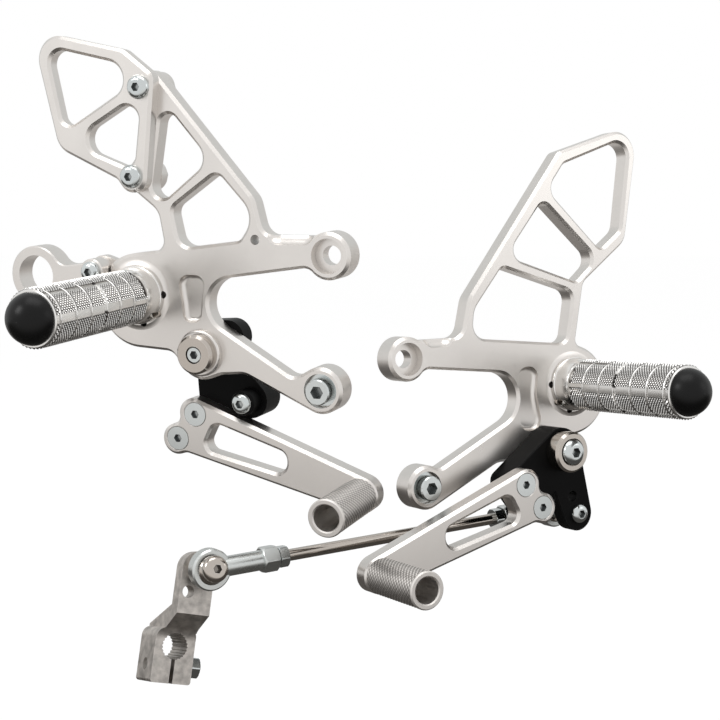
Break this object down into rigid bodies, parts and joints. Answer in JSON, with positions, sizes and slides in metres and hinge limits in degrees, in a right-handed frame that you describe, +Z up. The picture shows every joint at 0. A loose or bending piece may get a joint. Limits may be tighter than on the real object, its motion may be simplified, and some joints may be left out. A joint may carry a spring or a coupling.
{
  "type": "rear sets footrest",
  "caption": "Pair of milled footrest plates with knurled foot pegs and heel guards, a brake pedal, and a shift lever with its rod and spindle clamp.",
  "frame": {"origin": "axis of the brake half's upper frame bolt, at the floor of its counterbore", "axes": "+X to the picture's right, +Y away from the viewer, +Z up; the brake half faces -Y turned 22.3 degrees towards -X, the shift half faces -Y turned 30.4 degrees towards +X"},
  "size_m": [0.3598, 0.1954, 0.3239],
  "materials": {
    "satin_aluminium": "satin clear anodised",
    "bright_aluminium": "bright knurled",
    "black_plastic": "soft gloss",
    "black_anodised": "satin black anodised",
    "polished_steel": "polished",
    "bronze": "sintered",
    "raw_steel": "forged and machined",
    "zinc_steel": "zinc plated"
  },
  "bodies": {
    "frame": {"brake_plate": "satin_aluminium", "brake_heel_guard": "satin_aluminium", "heel_guard_screws": "zinc_steel", "heel_guard_nuts": "zinc_steel", "brake_footpeg": "bright_aluminium", "brake_peg_cap": "black_plastic", "brake_peg_bolt": "zinc_steel", "brake_peg_dowel": "zinc_steel", "brake_pivot_pin": "polished_steel", "brake_pivot_screw": "zinc_steel", "brake_pivot_washer": "zinc_steel", "brake_pivot_nut": "zinc_steel", "brake_mount_screw": "zinc_steel", "brake_mount_washer": "zinc_steel", "hanger_ring": "satin_aluminium", "hanger_screw": "zinc_steel", "shift_plate": "satin_aluminium", "shift_footpeg": "bright_aluminium", "shift_peg_cap": "black_plastic", "shift_peg_bolt": "zinc_steel", "shift_peg_dowel": "zinc_steel", "shift_pivot_sleeve": "polished_steel", "shift_pivot_collar": "polished_steel", "shift_pivot_screw": "zinc_steel", "shift_mount_screw": "zinc_steel", "shift_mount_washer": "zinc_steel"},
    "brake_pedal": {"brake_bush": "bronze", "brake_crank": "black_anodised", "brake_lever": "satin_aluminium", "brake_lever_screws": "zinc_steel", "brake_toe_peg": "bright_aluminium", "brake_toe_screw": "zinc_steel", "clevis_spacer": "black_anodised", "clevis_bush": "black_anodised", "clevis_screw": "zinc_steel", "clevis_nut": "zinc_steel"},
    "shift_lever": {"shift_bush": "bronze", "shift_crank": "black_anodised", "shift_lever": "satin_aluminium", "shift_lever_screws": "zinc_steel", "shift_toe_peg": "bright_aluminium", "shift_toe_screw": "zinc_steel", "crank_rod_ball": "polished_steel", "crank_rod_spacer": "zinc_steel", "crank_rod_screw": "zinc_steel", "crank_rod_nut": "zinc_steel"},
    "shift_rod": {"crank_rod_end": "zinc_steel", "shift_rod": "polished_steel", "rod_jam_nuts": "zinc_steel", "clamp_rod_end": "zinc_steel"},
    "spindle_clamp": {"clamp_rod_ball": "polished_steel", "clamp_rod_screw": "polished_steel", "spindle_clamp": "raw_steel", "clamp_pinch_bolt": "zinc_steel"}
  },
  "joints": [
    {"name": "brake_pedal_pivot", "type": "hinge", "parent": "frame", "child": "brake_pedal", "pos_m": [-0.06132, 0.0376, -0.04948], "axis": [0.379, 0.924, 0.0506], "range_deg": [0, 12], "stiffness_Nm_per_rad": 1, "springref_deg": -8.59},
    {"name": "shift_lever_pivot", "type": "hinge", "parent": "frame", "child": "shift_lever", "pos_m": [0.11925, 0.07354, -0.10933], "axis": [0.5047, -0.8602, 0.0732], "range_deg": [-6, 6], "stiffness_Nm_per_rad": 10},
    {"name": "crank_rod_joint", "type": "hinge", "parent": "shift_lever", "child": "shift_rod", "pos_m": [0.12167, 0.08918, -0.14583], "axis": [0.5047, -0.8602, 0.0732], "range_deg": [-5.6, 5.6]},
    {"name": "clamp_rod_joint", "type": "hinge", "parent": "shift_rod", "child": "spindle_clamp", "pos_m": [-0.05921, -0.01738, -0.15094], "axis": [0.5047, -0.8602, 0.0732], "range_deg": [-6.4, 6.4]}
  ],
  "couplings": [
    {"joint": "crank_rod_joint", "follows": "shift_lever_pivot", "ratio": -0.8965},
    {"joint": "clamp_rod_joint", "follows": "shift_lever_pivot", "ratio": -0.9851}
  ]
}
